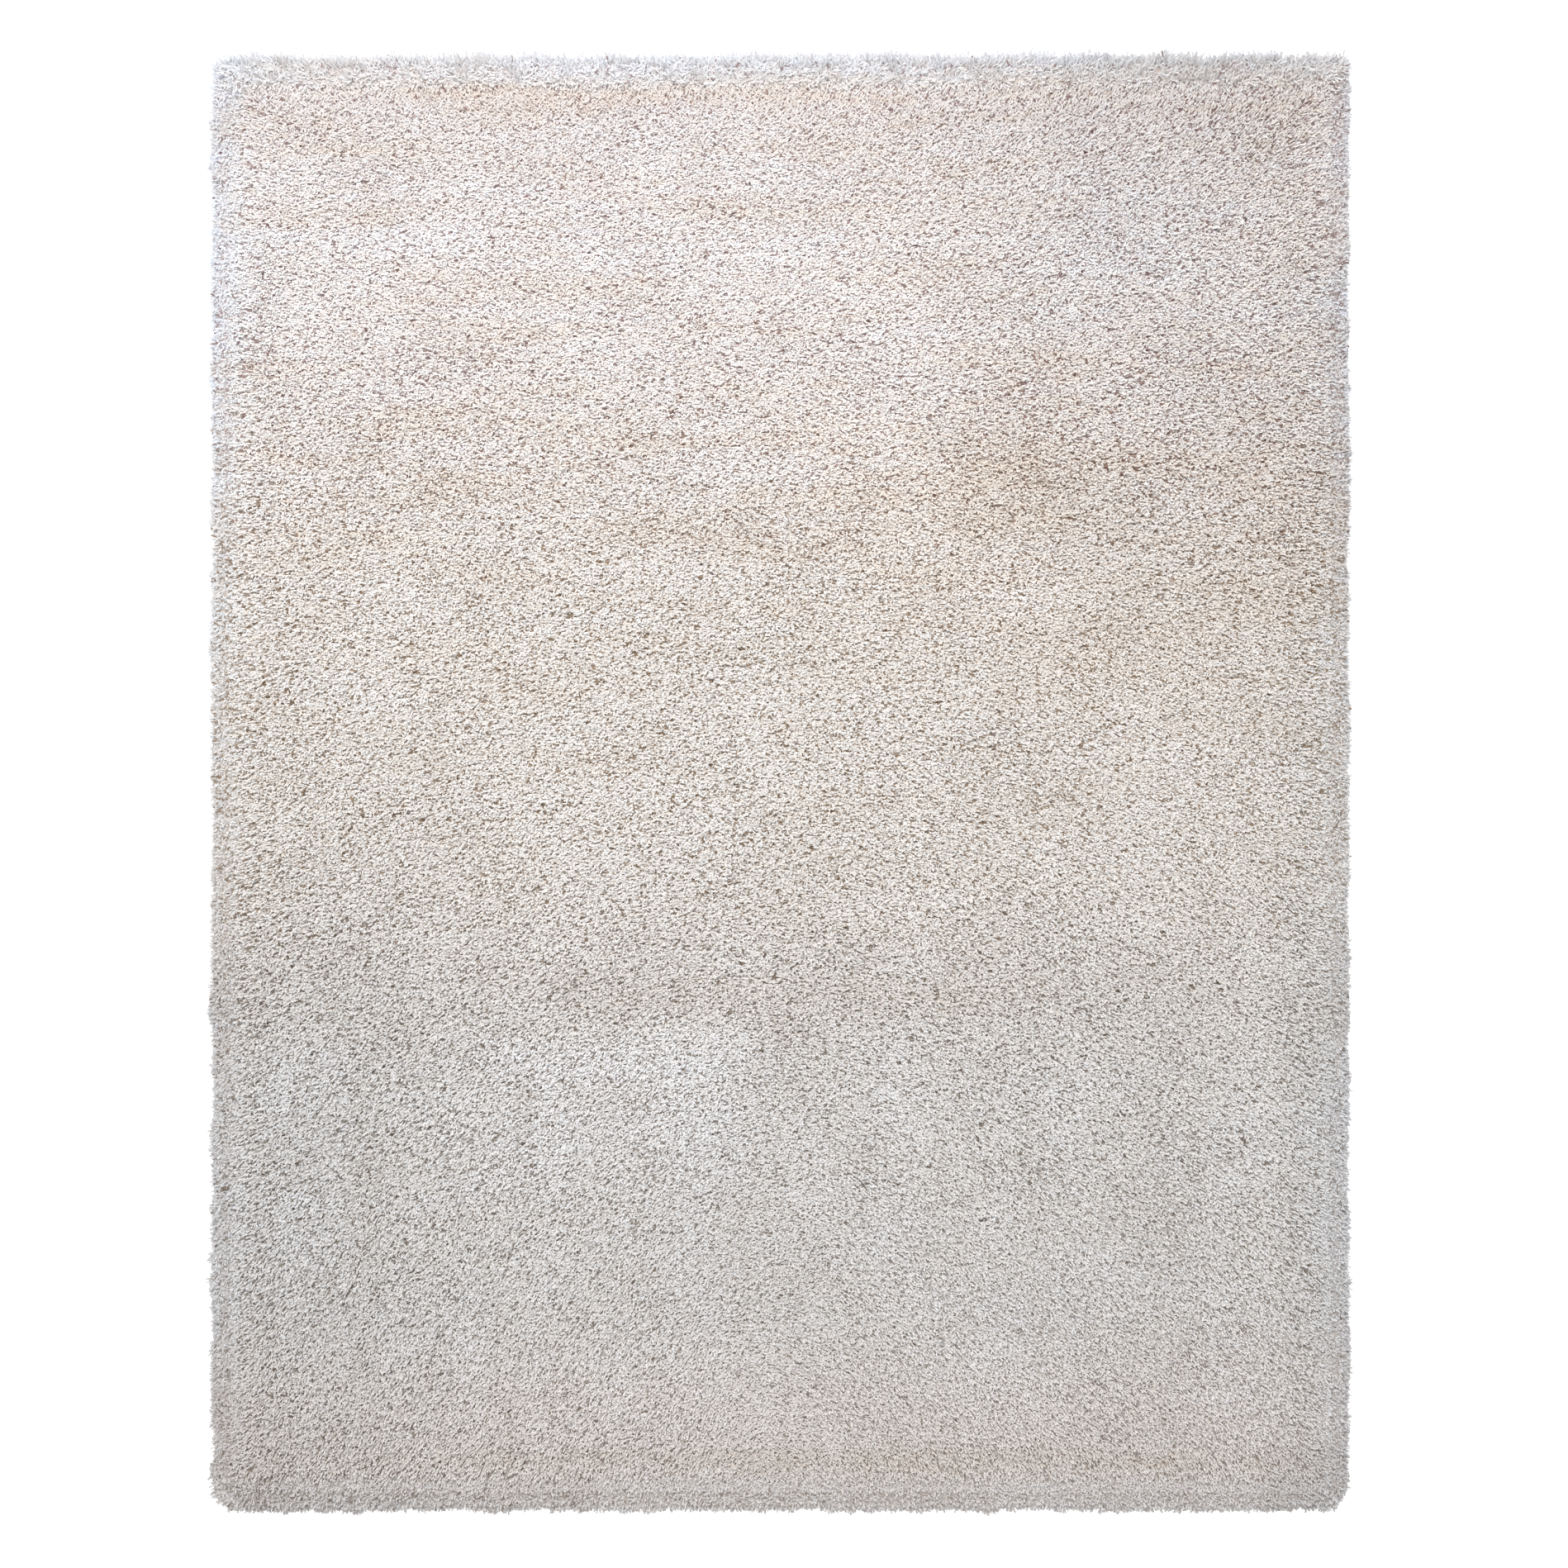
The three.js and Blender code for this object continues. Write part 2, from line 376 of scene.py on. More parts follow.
def noise(x, y, size, seed):
    """Smooth random hills from -1 to 1, of about the given size."""
    size_x, size_y = (size, size) if np.isscalar(size) else size
    table = np.random.default_rng(seed).uniform(-1, 1, (NOISE_CELLS, NOISE_CELLS))
    u, v = np.asarray(x) / size_x + NOISE_SHIFT, np.asarray(y) / size_y + NOISE_SHIFT
    column, row = np.floor(u).astype(int), np.floor(v).astype(int)
    fu, fv = u - column, v - row
    fu, fv = fu * fu * (3 - 2 * fu), fv * fv * (3 - 2 * fv)
    here, right = column % NOISE_CELLS, (column + 1) % NOISE_CELLS
    low, high = row % NOISE_CELLS, (row + 1) % NOISE_CELLS
    near = table[low, here] * (1 - fu) + table[low, right] * fu
    far = table[high, here] * (1 - fu) + table[high, right] * fu
    return near * (1 - fv) + far * fv


def hills(x, y, layers, start=0):
    """A start value and random hills on it, each a height, a size and a seed."""
    return sum((height * noise(x, y, size, seed) for height, size, seed in layers), start)


def smooth(low, high, value):
    """From 0 at low to 1 at high."""
    share = np.clip((value - low) / (high - low), 0, 1)
    return share * share * (3 - 2 * share)


def unit(vectors):
    return vectors / np.maximum(np.linalg.norm(vectors, axis=1, keepdims=True), TINY)


def turned_by(vectors, angle):
    """Level directions turned counterclockwise."""
    cos, sin = np.cos(angle), np.sin(angle)
    x, y = vectors[:, 0], vectors[:, 1]
    return np.stack([x * cos - y * sin, x * sin + y * cos], 1)


def calm_at(x, y):
    """How calm the pile looks, from 0 in the rug's upper middle to 1 near its ends."""
    near = NEAR_CALM * smooth(*NEAR_CALM_Y, y)
    near *= 1 - NEAR_LEFT_LOSS * smooth(*NEAR_LEFT_X, x)
    near += NEAR_RIGHT_CALM * smooth(*NEAR_RIGHT_X, x) * smooth(*NEAR_RIGHT_Y, y)
    far = FAR_CALM * smooth(*FAR_CALM_Y, y)
    far -= FAR_RIGHT_LOSS * smooth(*FAR_RIGHT_X, x) * smooth(*FAR_RIGHT_Y, y)
    side = RIGHT_CALM * smooth(*RIGHT_CALM_X, x)
    for span in RIGHT_CALM_Y:
        side = side * smooth(*span, y)
    return near + far + side


def ground_height(x, y):
    return pile_height(x, y) - GROUND_DEPTH + CALM_GROUND * calm_at(x, y)


def mesh_object(name, points, faces, smooth_shaded=True):
    """An object from arrays of points and of faces that all have the same number of corners."""
    faces = np.asarray(faces, np.int32)
    corners = faces.shape[1]
    mesh = bpy.data.meshes.new(name)
    mesh.vertices.add(len(points))
    mesh.vertices.foreach_set("co", np.asarray(points, np.float32).ravel())
    mesh.loops.add(faces.size)
    mesh.loops.foreach_set("vertex_index", faces.ravel())
    mesh.polygons.add(len(faces))
    mesh.polygons.foreach_set("loop_start", np.arange(0, faces.size, corners, dtype=np.int32))
    mesh.polygons.foreach_set("loop_total", np.full(len(faces), corners, np.int32))
    mesh.polygons.foreach_set("use_smooth", np.full(len(faces), smooth_shaded))
    mesh.update(calc_edges=True)
    mesh.validate()
    piece = bpy.data.objects.new(name, mesh)
    bpy.context.scene.collection.objects.link(piece)
    return piece


def add_values(piece, name, values):
    """One number for each point of a piece, for its material to read."""
    layer = piece.data.attributes.new(name, "FLOAT", "POINT")
    layer.data.foreach_set("value", np.asarray(values, np.float32).ravel())


def add_map(piece, name, places):
    """A UV map from one place for each point of a piece."""
    layer = piece.data.uv_layers.new(name=name, do_init=False)
    corners = np.empty(len(piece.data.loops), np.int32)
    piece.data.loops.foreach_get("vertex_index", corners)
    layer.uv.foreach_set("vector", np.asarray(places, np.float32)[corners].ravel())


def finish_piece(piece, material):
    piece.data.materials.append(material)
    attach(piece, "root")
    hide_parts(NODE)


# ---------------------------------------------------------------- clumps


def clumps_at(x, y):
    """Each place's offset along Y from its clump's centre, its distance from the clump's edge, both in clump
    sizes, and the clump's four random numbers."""
    u = (x + hills(x, y, CLUMP_WARPS[0])) / CLUMP_SIZE[0]
    v = (y + hills(x, y, CLUMP_WARPS[1])) / CLUMP_SIZE[1]
    column, row = np.floor(u), np.floor(v)
    best = np.full(len(x), np.inf)
    second = np.full(len(x), np.inf)
    off_v = np.zeros(len(x))
    chance = np.zeros((len(x), 4))
    seeds_u, seeds_v, steps = CLUMP_SEEDS
    for step_u in (-1, 0, 1):
        for step_v in (-1, 0, 1):
            cell_u, cell_v = column + step_u, row + step_v
            du = u - (cell_u + 0.5 + CLUMP_SCATTER * scatter(cell_u + seeds_u[0], cell_v + seeds_u[1]))
            dv = v - (cell_v + 0.5 + CLUMP_SCATTER * scatter(cell_v + seeds_v[0], cell_u + seeds_v[1]))
            far = np.hypot(du, dv)
            closer = far < best
            second = np.where(closer, best, np.minimum(second, far))
            best = np.where(closer, far, best)
            off_v = np.where(closer, dv, off_v)
            for number in range(4):
                value = scatter(cell_u + steps[0] * number, cell_v - steps[1] * number)
                chance[:, number] = np.where(closer, value, chance[:, number])
    edge = np.clip((second - best) / CLUMP_EDGE, 0, 1)
    return off_v, edge, chance


# ---------------------------------------------------------------- yarns


def wedges(root, tip, width, blunt, roll):
    """A flat wedge for each yarn: its three points, and normals that make it look round."""
    axis = unit(tip - root)
    side = np.stack([axis[:, 1], -axis[:, 0], np.zeros(len(axis))], 1)
    side[np.linalg.norm(side, axis=1) < UPRIGHT] = (1, 0, 0)
    side = unit(side)
    up = np.cross(side, axis)
    turned = side * np.cos(roll)[:, None] + up * np.sin(roll)[:, None]
    facing = up * np.cos(roll)[:, None] - side * np.sin(roll)[:, None] + (0, 0, UPWARD)
    wide = np.where(blunt[:, None], tip, root)
    narrow = np.where(blunt[:, None], root, tip)
    edge = turned * np.where(blunt, -width / 2, width / 2)[:, None]
    points = np.stack([wide - edge, wide + edge, narrow], 1)
    rounded = turned * np.where(blunt, -ROUNDNESS, ROUNDNESS)[:, None]
    normals = np.stack([unit(facing - rounded), unit(facing + rounded), unit(facing)], 1)
    return points, normals


def yarn_piece(name, yarns, cell, cells, material, blunt_share=BLUNT_SHARE):
    """A piece of many yarns. cell is each yarn's own cell in the map, and cells is how many there are."""
    root, tip, width, tone, rim, pit = yarns
    count = len(root)
    roll = rng.normal(0, YARN_ROLL, count)
    blunt = rng.uniform(0, 1, count) < blunt_share
    points, normals = wedges(root, tip, width, blunt, roll)
    points[:, :, 2] = np.maximum(points[:, :, 2], LOWEST_POINT)
    faces = np.arange(3)[None] + 3 * np.arange(count)[:, None]
    piece = mesh_object(name, points.reshape(-1, 3), faces)
    along = np.stack([blunt, blunt, ~blunt], 1).astype(float)
    across = np.stack([blunt, ~blunt, np.full(count, 0.5)], 1).astype(float)
    add_values(piece, "along", along)
    for key, values in (("tone", tone), ("rim", rim), ("pit", pit)):
        add_values(piece, key, np.repeat(values, 3))
    inside = np.stack([across, along], 2) * MAP_SPAN + MAP_MARGIN
    add_map(piece, "OFBake", ((cell[:, None] + inside) / cells).reshape(-1, 2))
    length = np.linalg.norm(tip - root, axis=1)
    drawn = np.stack([across * width[:, None] + tone[:, None], along * length[:, None] + roll[:, None]], 2)
    add_map(piece, "yarn", drawn.reshape(-1, 2))
    piece.data.normals_split_custom_set_from_vertices(normals.reshape(-1, 3))
    finish_piece(piece, material)


def comb_angle(x, y):
    """The angle that the yarns lie along: across the rug far off, splaying down and out at the near end."""
    splay = np.radians(COMB_SPLAY - COMB_SLOPE * y)
    full = COMB_WIDTH + COMB_WIDENING * smooth(*COMB_WIDENING_Y, y)
    return -splay * np.tanh(x / full) + math.radians(COMB_TURN) * smooth(*COMB_TURN_Y, y)


def strokes_at(x, y, spread):
    """Level directions along the comb's, either way round, with some spread."""
    turn = rng.uniform(0, 2 * math.pi, len(x))
    stroke = unit(np.stack([np.cos(turn), spread * np.sin(turn)], 1))
    return turned_by(stroke, comb_angle(x, y))


def field_yarns():
    """The roots, tips and looks of the yarns that stand in the field, with each one's place in the grid."""
    columns = int(2 * (HALF_WIDTH - FIELD_MARGIN) / PITCH)
    rows = int(2 * (HALF_LENGTH - FIELD_MARGIN) / PITCH)
    column, row = np.meshgrid(np.arange(columns), np.arange(rows))
    column, row = column.ravel(), row.ravel()
    across = column + 0.5 - columns / 2 + ROW_SHIFT * (row % 2)
    x = (across + rng.uniform(-JITTER, JITTER, len(column))) * PITCH
    y = (row + 0.5 - rows / 2 + rng.uniform(-JITTER, JITTER, len(row))) * PITCH
    depth, outward = rim_depth(x, y)
    kept = depth > FIELD_INSET
    x, y, column, row = x[kept], y[kept], column[kept], row[kept]
    depth, outward = depth[kept], outward[kept]
    count = len(x)

    off_v, edge, chance = clumps_at(x, y)
    # Yarns part along the near side of a clump, in broken lines
    strength = smooth(*GAP_SPAN, hills(x, y, GAP_HILLS))
    parting = strength * smooth(GAP_WIDTH, GAP_CORE * GAP_WIDTH, edge) * smooth(*GAP_SIDE, off_v)
    calm = calm_at(x, y)
    deep = (PIT_SHARE + GAP_SHARE * parting) * (1 - CALM_FILLING * calm)
    pit = (rng.uniform(0, 1, count) < deep).astype(float)

    # The lean, with wander, clump by clump and yarn by yarn
    stroke = hills(x, y, STROKE_HILLS, STROKE)
    lean = np.stack([hills(x, y, LEAN_HILLS[axis], MEAN_LEAN[axis]) for axis in (0, 1)], 1)
    lean += CLUMP_LEAN * chance[:, 1:3]
    lean += outward * (OUTWARD_LEAN * smooth(*OUTWARD_DEPTHS, depth))[:, None]
    lean[:, 1] += BRUSHED_LEAN * smooth(*BRUSHED_Y, y)
    lean += (stroke * rng.uniform(*STROKE_RANGE, count))[:, None] * strokes_at(x, y, STROKE_SPREAD)
    size = np.linalg.norm(lean, axis=1, keepdims=True)
    lean *= np.minimum(1, LARGEST_LEAN / np.maximum(size, TINY))

    # The tips stand on the pile's surface, step down from clump to clump, and drop in pits and at the rim
    top = pile_height(x, y) + TIP_HEIGHT
    lively = 1 - CALM_FLATNESS * calm
    top -= lively * CLUMP_STEP * strength * np.clip(off_v, -CLUMP_STEP_REACH, CLUMP_STEP_REACH)
    top += lively * CLUMP_LIFT * chance[:, 0]
    top += rng.normal(0, TIP_SPREAD, count)
    top -= PIT_DROP * pit
    top = np.maximum(top, pile_height(x, y) - DEEPEST_TIP)
    top -= EDGE_DROP * smooth(EDGE_DROP_DEPTH, 0.0, depth)
    top = np.minimum(top, HIGHEST_TIP)
    length = YARN_LENGTH * rng.uniform(*YARN_LENGTHS, count)
    rise = length * np.sqrt(1 - (lean**2).sum(1))
    root = np.stack([x, y, top - rise], 1)
    tip = np.stack([x + lean[:, 0] * length, y + lean[:, 1] * length, top], 1)
    tone = rng.normal(0, 1, count) + CLUMP_TONE * chance[:, 3]
    width = YARN_WIDTH * (1 - CALM_THINNING * calm) * rng.uniform(*YARN_WIDTHS, count)
    rim = smooth(RIM_LOOK_DEPTH, 0.0, depth)
    return root, tip, width, tone, rim, pit, np.stack([column, row], 1), (columns, rows)


def build_field(material):
    *yarns, cell, (columns, rows) = field_yarns()
    bounds = np.linspace(0, rows, STRIPS + 1).astype(int)
    for strip in range(STRIPS):
        low, high = bounds[strip], bounds[strip + 1]
        here = (cell[:, 1] >= low) & (cell[:, 1] < high)
        yarn_piece(
            f"pile_{strip + 1}",
            [values[here] for values in yarns],
            cell[here] - np.array([0, low]),
            np.array([columns, high - low]),
            material,
        )


def lock_pull(share, section):
    """How strongly the CAD model's locks take hold of rim yarns, and where each yarn's lock ends."""
    number = np.arange(LOCK_COUNT)
    place = (number + LOCK_TURN * scatter(number, 1)) / LOCK_COUNT
    point, outward = rim_at(place)
    lean = unit(point - np.array(LEAN_CENTRE)) * LEAN_SHARE
    along = turned_by(unit(outward + lean), LOCK_TURN * scatter(number, 2))
    reach = LOCK_REACH * (LOCK_SHORTEST + (1 - LOCK_SHORTEST) * (scatter(number, 3) + 1) / 2)
    nearest = np.floor(share * LOCK_COUNT + 0.5).astype(int) % LOCK_COUNT
    off = ((share - place[nearest] + 0.5) % 1 - 0.5) * RIM_LENGTH
    hold = smooth(*HOLD_SPAN, np.abs(off) / LOCK_HALF_WIDTH) * (1 - HOLD_LOSS * section)
    end = point[nearest] + along[nearest] * reach[nearest][:, None]
    return hold, end


def shoulder_at(section):
    """The ground's shoulder from the floor, 0, to the field, 1: how far in from the rim, and how high."""
    stations = np.array(SHOULDER)
    steps = np.linspace(0, 1, len(stations))
    return np.interp(section, steps, stations[:, 0]), np.interp(section, steps, stations[:, 1])


def rim_yarns():
    """Yarns that stand on the ground's shoulder, row by row from the floor up."""
    columns = int(RIM_LENGTH / RIM_PITCH)
    column, row = np.meshgrid(np.arange(columns), np.arange(RIM_ROWS))
    column, row = column.ravel(), row.ravel()
    count = len(column)
    share = (column + 0.5 * (row % 2) + rng.uniform(-JITTER, JITTER, count)) / columns
    section = np.clip((row + 0.5 + rng.uniform(-0.5, 0.5, count)) / RIM_ROWS, 0, 1)
    # More of the rows stand high on the shoulder, where its slope is longest
    section = 1 - (1 - section) ** ROW_CROWDING
    inset, height = shoulder_at(section)
    run_round = share * RIM_LENGTH
    inset -= hills(run_round, 0, RIM_LUMPS) * (1 - section)
    # The near corner at the -X side bulges
    corner = rim_at(share)[0] - np.array((-HALF_WIDTH, -HALF_LENGTH))
    inset -= NEAR_BULGE * np.exp(-((corner / BULGE_SIZE) ** 2).sum(1)) * (1 - section)
    base, outward = inward_of(share, inset)
    base += REACH_OUT * np.clip(outward, *REACH_OUT_LIMITS) * (1 - section)[:, None]
    ground = ground_height(base[:, 0], base[:, 1]) * height

    # Which yarns are settled, and how steeply and which way each one points
    far_side = smooth(*FAR_SIDE_Y, base[:, 1]) * np.clip(FAR_SIDE_GAIN * outward[:, 1], 0, 1)
    tuft = hills(run_round, section * TUFT_RISE, TUFTS)
    settling = section + SETTLED_TUFT * tuft - far_side * (UNSETTLED_FAR + UNSETTLED_TUFT * tuft)
    settled = rng.uniform(0, 1, count) < smooth(*SETTLED_SPAN, settling)
    steep = np.radians(RIM_STEEP + RIM_STEEPENING * section) + rng.normal(0, RIM_STEEP_SPREAD, count)
    steep = np.where(settled, np.radians(SETTLED_STEEP) + rng.normal(0, SETTLED_STEEP_SPREAD, count), steep)
    steep = np.clip(steep, *np.radians(STEEP_LIMITS))
    sideways = np.stack([-outward[:, 1], outward[:, 0]], 1)
    swing = rng.normal(0, 1, count) * (RIM_SWING + FAR_SWING * far_side) + TUFT_SWING * tuft
    lean = LEAN_SHARE * RIM_LEAN * unit(base - np.array(LEAN_CENTRE))
    flat = unit(outward + sideways * swing[:, None] + lean)
    flat = np.where(settled[:, None], strokes_at(base[:, 0], base[:, 1], SETTLED_SPREAD), flat)

    # Their lengths: the far corners are pulled out nearly to points
    length = RIM_YARN + FAR_EXTRA * far_side * (1 - FAR_EXTRA_LOSS * section)
    length *= rng.uniform(*RIM_LENGTHS, count)
    length *= 1 + TUFT_LENGTH * tuft
    pulled_out = np.where(base[:, 1] > 0, FAR_CORNER_PULL, NEAR_CORNER_PULL)
    length *= 1 + pulled_out * np.abs(outward[:, 0] * outward[:, 1])
    rise = length * np.sin(steep)
    run = length * np.cos(steep)
    root = np.column_stack([base, np.maximum(ground, ROOT_HEIGHT)])
    tip = np.column_stack([base + flat * run[:, None], root[:, 2] + rise])

    # Locks draw the tips near them together
    hold, end = lock_pull(share, section)
    aim = end + sideways * rng.normal(0, AIM_SPREAD, count)[:, None]
    reach = aim - base
    limit = np.minimum(1, AIM_LIMIT / np.maximum(np.linalg.norm(reach, axis=1), TINY))
    aimed = base + reach * limit[:, None]
    pull = (hold * ~settled * rng.uniform(*AIM_PULL, count))[:, None]
    tip[:, :2] += (aimed - tip[:, :2]) * pull
    tip[:, 2] += (AIM_HEIGHT + AIM_ROOT_SHARE * root[:, 2] - tip[:, 2]) * pull[:, 0] * AIM_DROP
    tip[:, 2] = np.clip(tip[:, 2], LOWEST_TIP + rng.uniform(0, LOWEST_TIP_SPREAD, count), HIGHEST_TIP)

    tone = rng.normal(0, 1, count)
    width = YARN_WIDTH * rng.uniform(*RIM_WIDTHS, count)
    calm = calm_at(base[:, 0], base[:, 1])
    deep = RIM_PITS * PIT_SHARE * (1 - calm) * section * (1 - FAR_PIT_LOSS * far_side)
    pit = (rng.uniform(0, 1, count) < deep).astype(float)
    rim = 1 - RIM_LOOK_LOSS * section
    return root, tip, width, tone, rim, pit, np.stack([column, row], 1), columns


def build_rim(material):
    *yarns, cell, columns = rim_yarns()
    # The long row of cells is folded into a stack, so that the map is nearly square
    per_fold = math.ceil(columns / RIM_FOLDS)
    folded = np.stack([cell[:, 0] % per_fold, cell[:, 1] + RIM_ROWS * (cell[:, 0] // per_fold)], 1)
    yarn_piece("rim_yarns", yarns, folded, np.array([per_fold, RIM_ROWS * RIM_FOLDS]), material)


def build_loose(material):
    """Long thin loose fibres at the rim, longest along the far end."""
    share = rng.uniform(0, 1, LOOSE_COUNT)
    far_end = smooth(*LOOSE_FAR_Y, rim_at(share)[0][:, 1])
    kept = rng.uniform(0, 1, LOOSE_COUNT) < LOOSE_SHARE + (1 - LOOSE_SHARE) * far_end
    share, far_end = share[kept], far_end[kept]
    count = len(share)
    inset = rng.uniform(*LOOSE_INSETS, count)
    base, outward = inward_of(share, inset)
    sideways = np.stack([-outward[:, 1], outward[:, 0]], 1)
    flat = unit(outward + sideways * rng.normal(0, LOOSE_SWING, count)[:, None])
    length = (LOOSE_LENGTH + LOOSE_FAR_EXTRA * far_end) * rng.uniform(*LOOSE_LENGTHS, count)
    steep = np.radians(rng.uniform(0, LOOSE_STEEPEST, count))
    low = LOOSE_HEIGHT + LOOSE_RISE * inset
    root = np.column_stack([base, low])
    tip = np.column_stack([base + flat * (length * np.cos(steep))[:, None], low + length * np.sin(steep)])
    width = rng.uniform(*LOOSE_WIDTHS, count)
    side = math.ceil(math.sqrt(count))
    cell = np.stack([np.arange(count) % side, np.arange(count) // side], 1)
    yarns = (root, tip, width, rng.normal(0, 1, count), np.ones(count), np.zeros(count))
    yarn_piece("loose_fibres", yarns, cell, np.array([side, side]), material, blunt_share=0)


# ---------------------------------------------------------------- ground and backing


def ring_shares(columns, rows):
    """Shares of the way round the rim that match the field's edge points, from the -X -Y corner."""
    parts = [
        CORNER_SHARES[side] + (CORNER_SHARES[side + 1] - CORNER_SHARES[side]) * np.arange(cells) / cells
        for side, cells in enumerate((columns, rows, columns, rows))
    ]
    return np.concatenate(parts)


def field_grid(half_x, half_y, cell):
    """A flat grid of points and faces, and the loop of its edge points from the -X -Y corner."""
    columns, rows = round(2 * half_x / cell), round(2 * half_y / cell)
    x, y = np.meshgrid(np.linspace(-half_x, half_x, columns + 1), np.linspace(-half_y, half_y, rows + 1))
    index = np.arange(x.size).reshape(x.shape)
    corners = (index[:-1, :-1], index[:-1, 1:], index[1:, 1:], index[1:, :-1])
    faces = np.stack([corner.ravel() for corner in corners], 1)
    edge = np.concatenate([index[0, :-1], index[:-1, -1], index[-1, :0:-1], index[:0:-1, 0]])
    return np.stack([x.ravel(), y.ravel()], 1), faces, edge, columns, rows


def build_ground(material):
    """The matted lower pile between the yarns, with a rounded shoulder down to the backing."""
    plan, faces, edge, columns, rows = field_grid(
        HALF_WIDTH - FIELD_EDGE, HALF_LENGTH - FIELD_EDGE, GROUND_CELL
    )
    height = ground_height(plan[:, 0], plan[:, 1])
    height += GROUND_LUMPS * rng.uniform(-1, 1, len(plan))
    points = [np.column_stack([plan, height])]
    all_faces = [faces]
    share = ring_shares(columns, rows)
    total = len(plan)
    last = edge
    for inset, rise in reversed(SHOULDER):
        place, _ = inward_of(share, np.full(len(share), inset))
        top = ground_height(place[:, 0], place[:, 1]) * rise
        points.append(np.column_stack([place, np.maximum(top, BACKING_THICKNESS / 2)]))
        ring = total + np.arange(len(share))
        total += len(share)
        all_faces.append(np.stack([last, ring, np.roll(ring, -1), np.roll(last, -1)], 1))
        last = ring
    piece = mesh_object("pile_ground", np.concatenate(points), np.concatenate(all_faces))
    finish_piece(piece, material)


def build_backing(material):
    """The woven backing cloth under the pile, flat on the floor."""
    half_x, half_y = HALF_WIDTH - BACKING_INSET, HALF_LENGTH - BACKING_INSET
    plan, faces, edge, columns, rows = field_grid(half_x - BACKING_CELL, half_y - BACKING_CELL, BACKING_CELL)
    point, outward = rim_at(ring_shares(columns, rows))
    ring = point - outward * BACKING_INSET
    flat = np.concatenate([plan, ring])
    loop = len(plan) + np.arange(len(ring))
    skirt = np.stack([edge, loop, np.roll(loop, -1), np.roll(edge, -1)], 1)
    sheet = np.concatenate([faces, skirt])
    low = np.column_stack([flat, np.full(len(flat), BACKING_LIFT)])
    high = np.column_stack([flat, np.full(len(flat), BACKING_THICKNESS)])
    side = np.stack([loop, np.roll(loop, -1), np.roll(loop, -1) + len(flat), loop + len(flat)], 1)
    points = np.concatenate([low, high])
    all_faces = np.concatenate([sheet[:, ::-1], sheet + len(flat), side])
    piece = mesh_object("backing", points, all_faces, smooth_shaded=False)
    finish_piece(piece, material)


# ---------------------------------------------------------------- materials


class Nodes:
    """A material's nodes, made one by one and joined by name."""

    def __init__(self, name):
        self.material = bpy.data.materials.new(name)
        self.material.use_nodes = True
        self.tree = self.material.node_tree
        self.shader = self.tree.nodes["Principled BSDF"]

    def add(self, kind, settings=None, **inputs):
        """A node. Its inputs are given by name, or by number as i0, i1 and so on."""
        node = self.tree.nodes.new(kind)
        for key, value in (settings or {}).items():
            setattr(node, key, value)
        for key, value in inputs.items():
            numbered = key[0] == "i" and key[1:].isdigit()
            self.feed(node.inputs[int(key[1:]) if numbered else key], value)
        return node

    def feed(self, socket, value):
        if isinstance(value, bpy.types.NodeSocket):
            self.tree.links.new(value, socket)
        else:
            socket.default_value = value

    def places(self):
        return self.add("ShaderNodeTexCoord").outputs["Object"]

    def value(self, name):
        return self.add("ShaderNodeAttribute", {"attribute_name": name}).outputs["Fac"]

    def math(self, operation, first, second):
        return self.add("ShaderNodeMath", {"operation": operation}, i0=first, i1=second).outputs[0]

    def vectors(self, operation, *values):
        node = self.add("ShaderNodeVectorMath", {"operation": operation})
        for socket, value in zip(node.inputs, values):
            self.feed(socket, value)
        return node.outputs["Value" if operation == "LENGTH" else "Vector"]

    def blend(self, factor, first, second, mode="MIX"):
        node = self.add("ShaderNodeMix", {"data_type": "RGBA", "blend_type": mode})
        self.feed(node.inputs[0], factor)
        self.feed(node.inputs[6], first)
        self.feed(node.inputs[7], second)
        return node.outputs[2]

    def tint(self, factor, colour, second):
        """A colour multiplied by a second one, as far as the factor says."""
        return self.blend(factor, colour, second, "MULTIPLY")

    def reach(self, value, low, high, start=0.0, end=1.0, course="SMOOTHSTEP"):
        """A step from start at low to end at high."""
        node = self.add("ShaderNodeMapRange", {"interpolation_type": course})
        names = ("Value", "From Min", "From Max", "To Min", "To Max")
        for name, number in zip(names, (value, low, high, start, end)):
            self.feed(node.inputs[name], number)
        return node.outputs["Result"]

    def noise(self, places, scale, detail, rough):
        inputs = {"Vector": places, "Scale": scale, "Detail": detail, "Roughness": rough}
        return self.add("ShaderNodeTexNoise", **inputs).outputs["Fac"]

    def stretched(self, places, scale):
        """Places scaled by axis, so that noise read there is drawn out."""
        node = self.add("ShaderNodeMapping", {"vector_type": "POINT"}, Vector=places)
        node.inputs["Scale"].default_value = scale
        return node.outputs[0]

    def streaks(self, places, scale, detail, low, high):
        """Drawn-out noise of size 1 / scale, from 0 to 1."""
        return self.reach(self.noise(self.stretched(places, scale), 1.0, detail, STREAK_ROUGHNESS), low, high)

    def finish(self, colour, constants, relief, strength, distance):
        """The material, with its colour and relief from nodes and the shader's other values as constants."""
        self.feed(self.shader.inputs["Base Color"], colour)
        for name, value in constants.items():
            self.shader.inputs[name].default_value = value
        bump = self.add("ShaderNodeBump", Strength=strength, Distance=distance, Height=relief)
        self.feed(self.shader.inputs["Normal"], bump.outputs[0])
        return self.material


def grey(share):
    return (share, share, share, 1.0)


